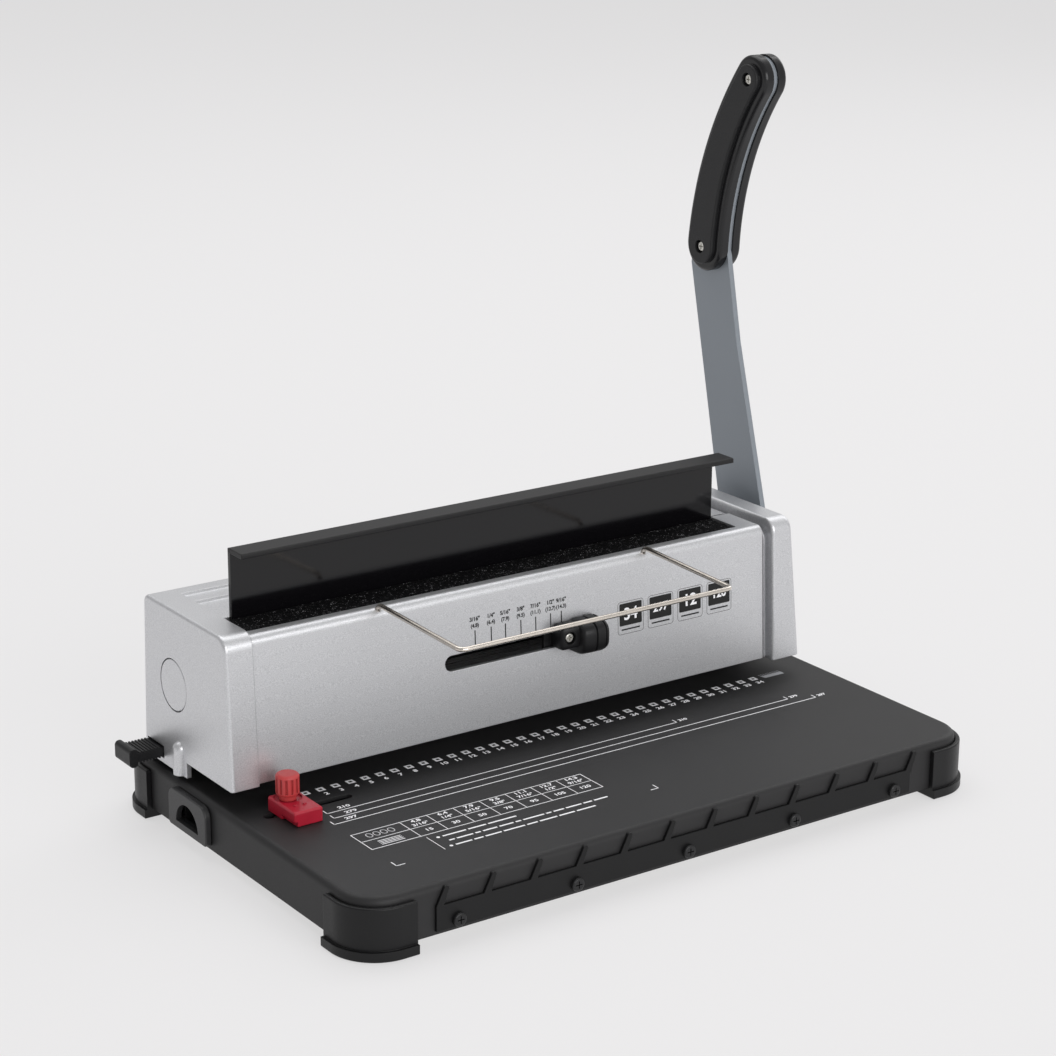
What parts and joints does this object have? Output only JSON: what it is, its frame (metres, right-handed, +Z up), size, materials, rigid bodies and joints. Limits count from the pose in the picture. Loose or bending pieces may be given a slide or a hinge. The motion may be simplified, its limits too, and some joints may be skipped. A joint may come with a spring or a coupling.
{
  "type": "wire binding machine",
  "caption": "Desk-top punch and wire binding machine: side lever, square-hole punch, closing bar, sliding stops and waste drawer.",
  "frame": {"origin": "middle of the machine's footprint on the table it stands on", "axes": "+X to the lever's side, along the row of holes; +Y to the back; +Z up"},
  "size_m": [0.3874, 0.2356, 0.3576],
  "materials": {
    "casing_paint": "satin light silver-grey metallic paint, fine orange peel",
    "base_paint": "satin black powder paint with a fine grain, printed white",
    "guard_plastic": "black moulded plastic, fine texture",
    "foot_rubber": "matt black rubber",
    "bright_steel": "ground steel",
    "zinc_steel": "bright zinc plate",
    "tool_steel": "ground and oiled tool steel",
    "black_steel": "blacked steel screws",
    "bar_black": "gloss black lacquer with a satin edge",
    "bed_black": "satin black paint",
    "strip_rubber": "ribbed black rubber",
    "bronze_bush": "sintered bronze",
    "spring_steel": "bright spring wire",
    "blade_paint": "blue-grey zinc-nickel finish",
    "grip_plastic": "black moulded grip",
    "knob_plastic": "black moulded knob",
    "stop_red": "red moulded plastic",
    "stop_knob_red": "lighter red moulded plastic",
    "rest_nickel": "nickel-plated wire",
    "drawer_plastic": "black moulded plastic"
  },
  "bodies": {
    "machine": {"base_tray": "base_paint", "bottom_plate": "zinc_steel", "guard_front_left": "guard_plastic", "guard_front_right": "guard_plastic", "guard_rear_left": "guard_plastic", "guard_rear_right": "guard_plastic", "foot_pads": "foot_rubber", "hook_rack": "base_paint", "hook_rack_screws": "black_steel", "main_shell": "casing_paint", "front_cover": "casing_paint", "rear_cover": "casing_paint", "rear_cover_screws": "black_steel", "right_end_cap": "casing_paint", "axle_cover_disc": "casing_paint", "side_plate_left": "zinc_steel", "side_plate_right": "zinc_steel", "tie_rods": "zinc_steel", "shaft_bush_left": "bronze_bush", "shaft_bush_right": "bronze_bush", "crimping_bed": "bed_black", "crimping_strip": "strip_rubber", "die_plate": "tool_steel", "guide_plate": "tool_steel", "spacer_blocks": "zinc_steel", "closing_guides": "zinc_steel", "punch_guides": "zinc_steel", "return_spring_left": "spring_steel", "return_spring_right": "spring_steel"},
    "lever": {"main_shaft": "bright_steel", "shaft_clips": "spring_steel", "closing_pinion_left": "tool_steel", "closing_pinion_right": "tool_steel", "punch_pinion_left": "tool_steel", "punch_pinion_right": "tool_steel", "handle_blade": "blade_paint", "grip_half_left": "grip_plastic", "grip_half_right": "grip_plastic", "grip_screws": "black_steel", "handle_hub": "zinc_steel", "hub_bolt": "black_steel"},
    "closing": {"closing_bar": "bar_black", "closing_racks": "tool_steel", "spring_lugs": "zinc_steel"},
    "punch": {"punch_bar": "tool_steel", "punch_pins": "tool_steel", "punch_racks": "tool_steel"},
    "selector": {"selector_knob": "knob_plastic", "selector_carriage": "zinc_steel", "selector_screw": "black_steel"},
    "edge_stop": {"edge_stop_block": "stop_red", "edge_stop_nut": "zinc_steel"},
    "edge_stop_screw": {"edge_stop_thumbscrew": "stop_knob_red"},
    "margin": {"margin_pull": "knob_plastic", "margin_slider": "zinc_steel"},
    "gauge": {"back_gauge": "zinc_steel"},
    "wire_rest": {"wire_rest_rod": "rest_nickel"},
    "drawer": {"waste_drawer_tray": "drawer_plastic", "waste_drawer_face": "drawer_plastic"}
  },
  "joints": [
    {"name": "handle_swing", "type": "hinge", "parent": "machine", "child": "lever", "pos_m": [0.0059, 0.063, 0.0775], "axis": [1, 0, 0], "range_deg": [0, 90], "stiffness_Nm_per_rad": 0.3, "springref_deg": -17.19},
    {"name": "closing_bar_drop", "type": "slide", "parent": "machine", "child": "closing", "axis": [0, 0, -1], "range_m": [0, 0.026], "deforming": ["return_spring_left", "return_spring_right"]},
    {"name": "punch_drop", "type": "slide", "parent": "machine", "child": "punch", "axis": [0, 0, -1], "range_m": [0, 0.0142]},
    {"name": "selector_slide", "type": "slide", "parent": "machine", "child": "selector", "axis": [1, 0, 0], "range_m": [-0.0531, 0]},
    {"name": "edge_stop_slide", "type": "slide", "parent": "machine", "child": "edge_stop", "axis": [1, 0, 0], "range_m": [-0.01, 0.032]},
    {"name": "edge_stop_screw_turn", "type": "hinge", "parent": "edge_stop", "child": "edge_stop_screw", "pos_m": [-0.1518, -0.0055, 0.045], "axis": [0, 0, 1], "range_deg": [-90, 180]},
    {"name": "margin_pull_slide", "type": "slide", "parent": "machine", "child": "margin", "axis": [-1, 0, 0], "range_m": [0, 0.01]},
    {"name": "back_gauge_slide", "type": "slide", "parent": "machine", "child": "gauge", "axis": [0, 1, 0], "range_m": [0, 0.003]},
    {"name": "wire_rest_lift", "type": "slide", "parent": "machine", "child": "wire_rest", "axis": [0, 0, 1], "range_m": [0, 0.018]},
    {"name": "waste_drawer_pull", "type": "slide", "parent": "machine", "child": "drawer", "axis": [-1, 0, 0], "range_m": [0, 0.29]}
  ],
  "couplings": [
    {"joint": "closing_bar_drop", "follows": "handle_swing", "m_per_rad": 0.0165},
    {"joint": "punch_drop", "follows": "handle_swing", "m_per_rad": 0.009},
    {"joint": "back_gauge_slide", "follows": "margin_pull_slide", "ratio": 0.3}
  ]
}
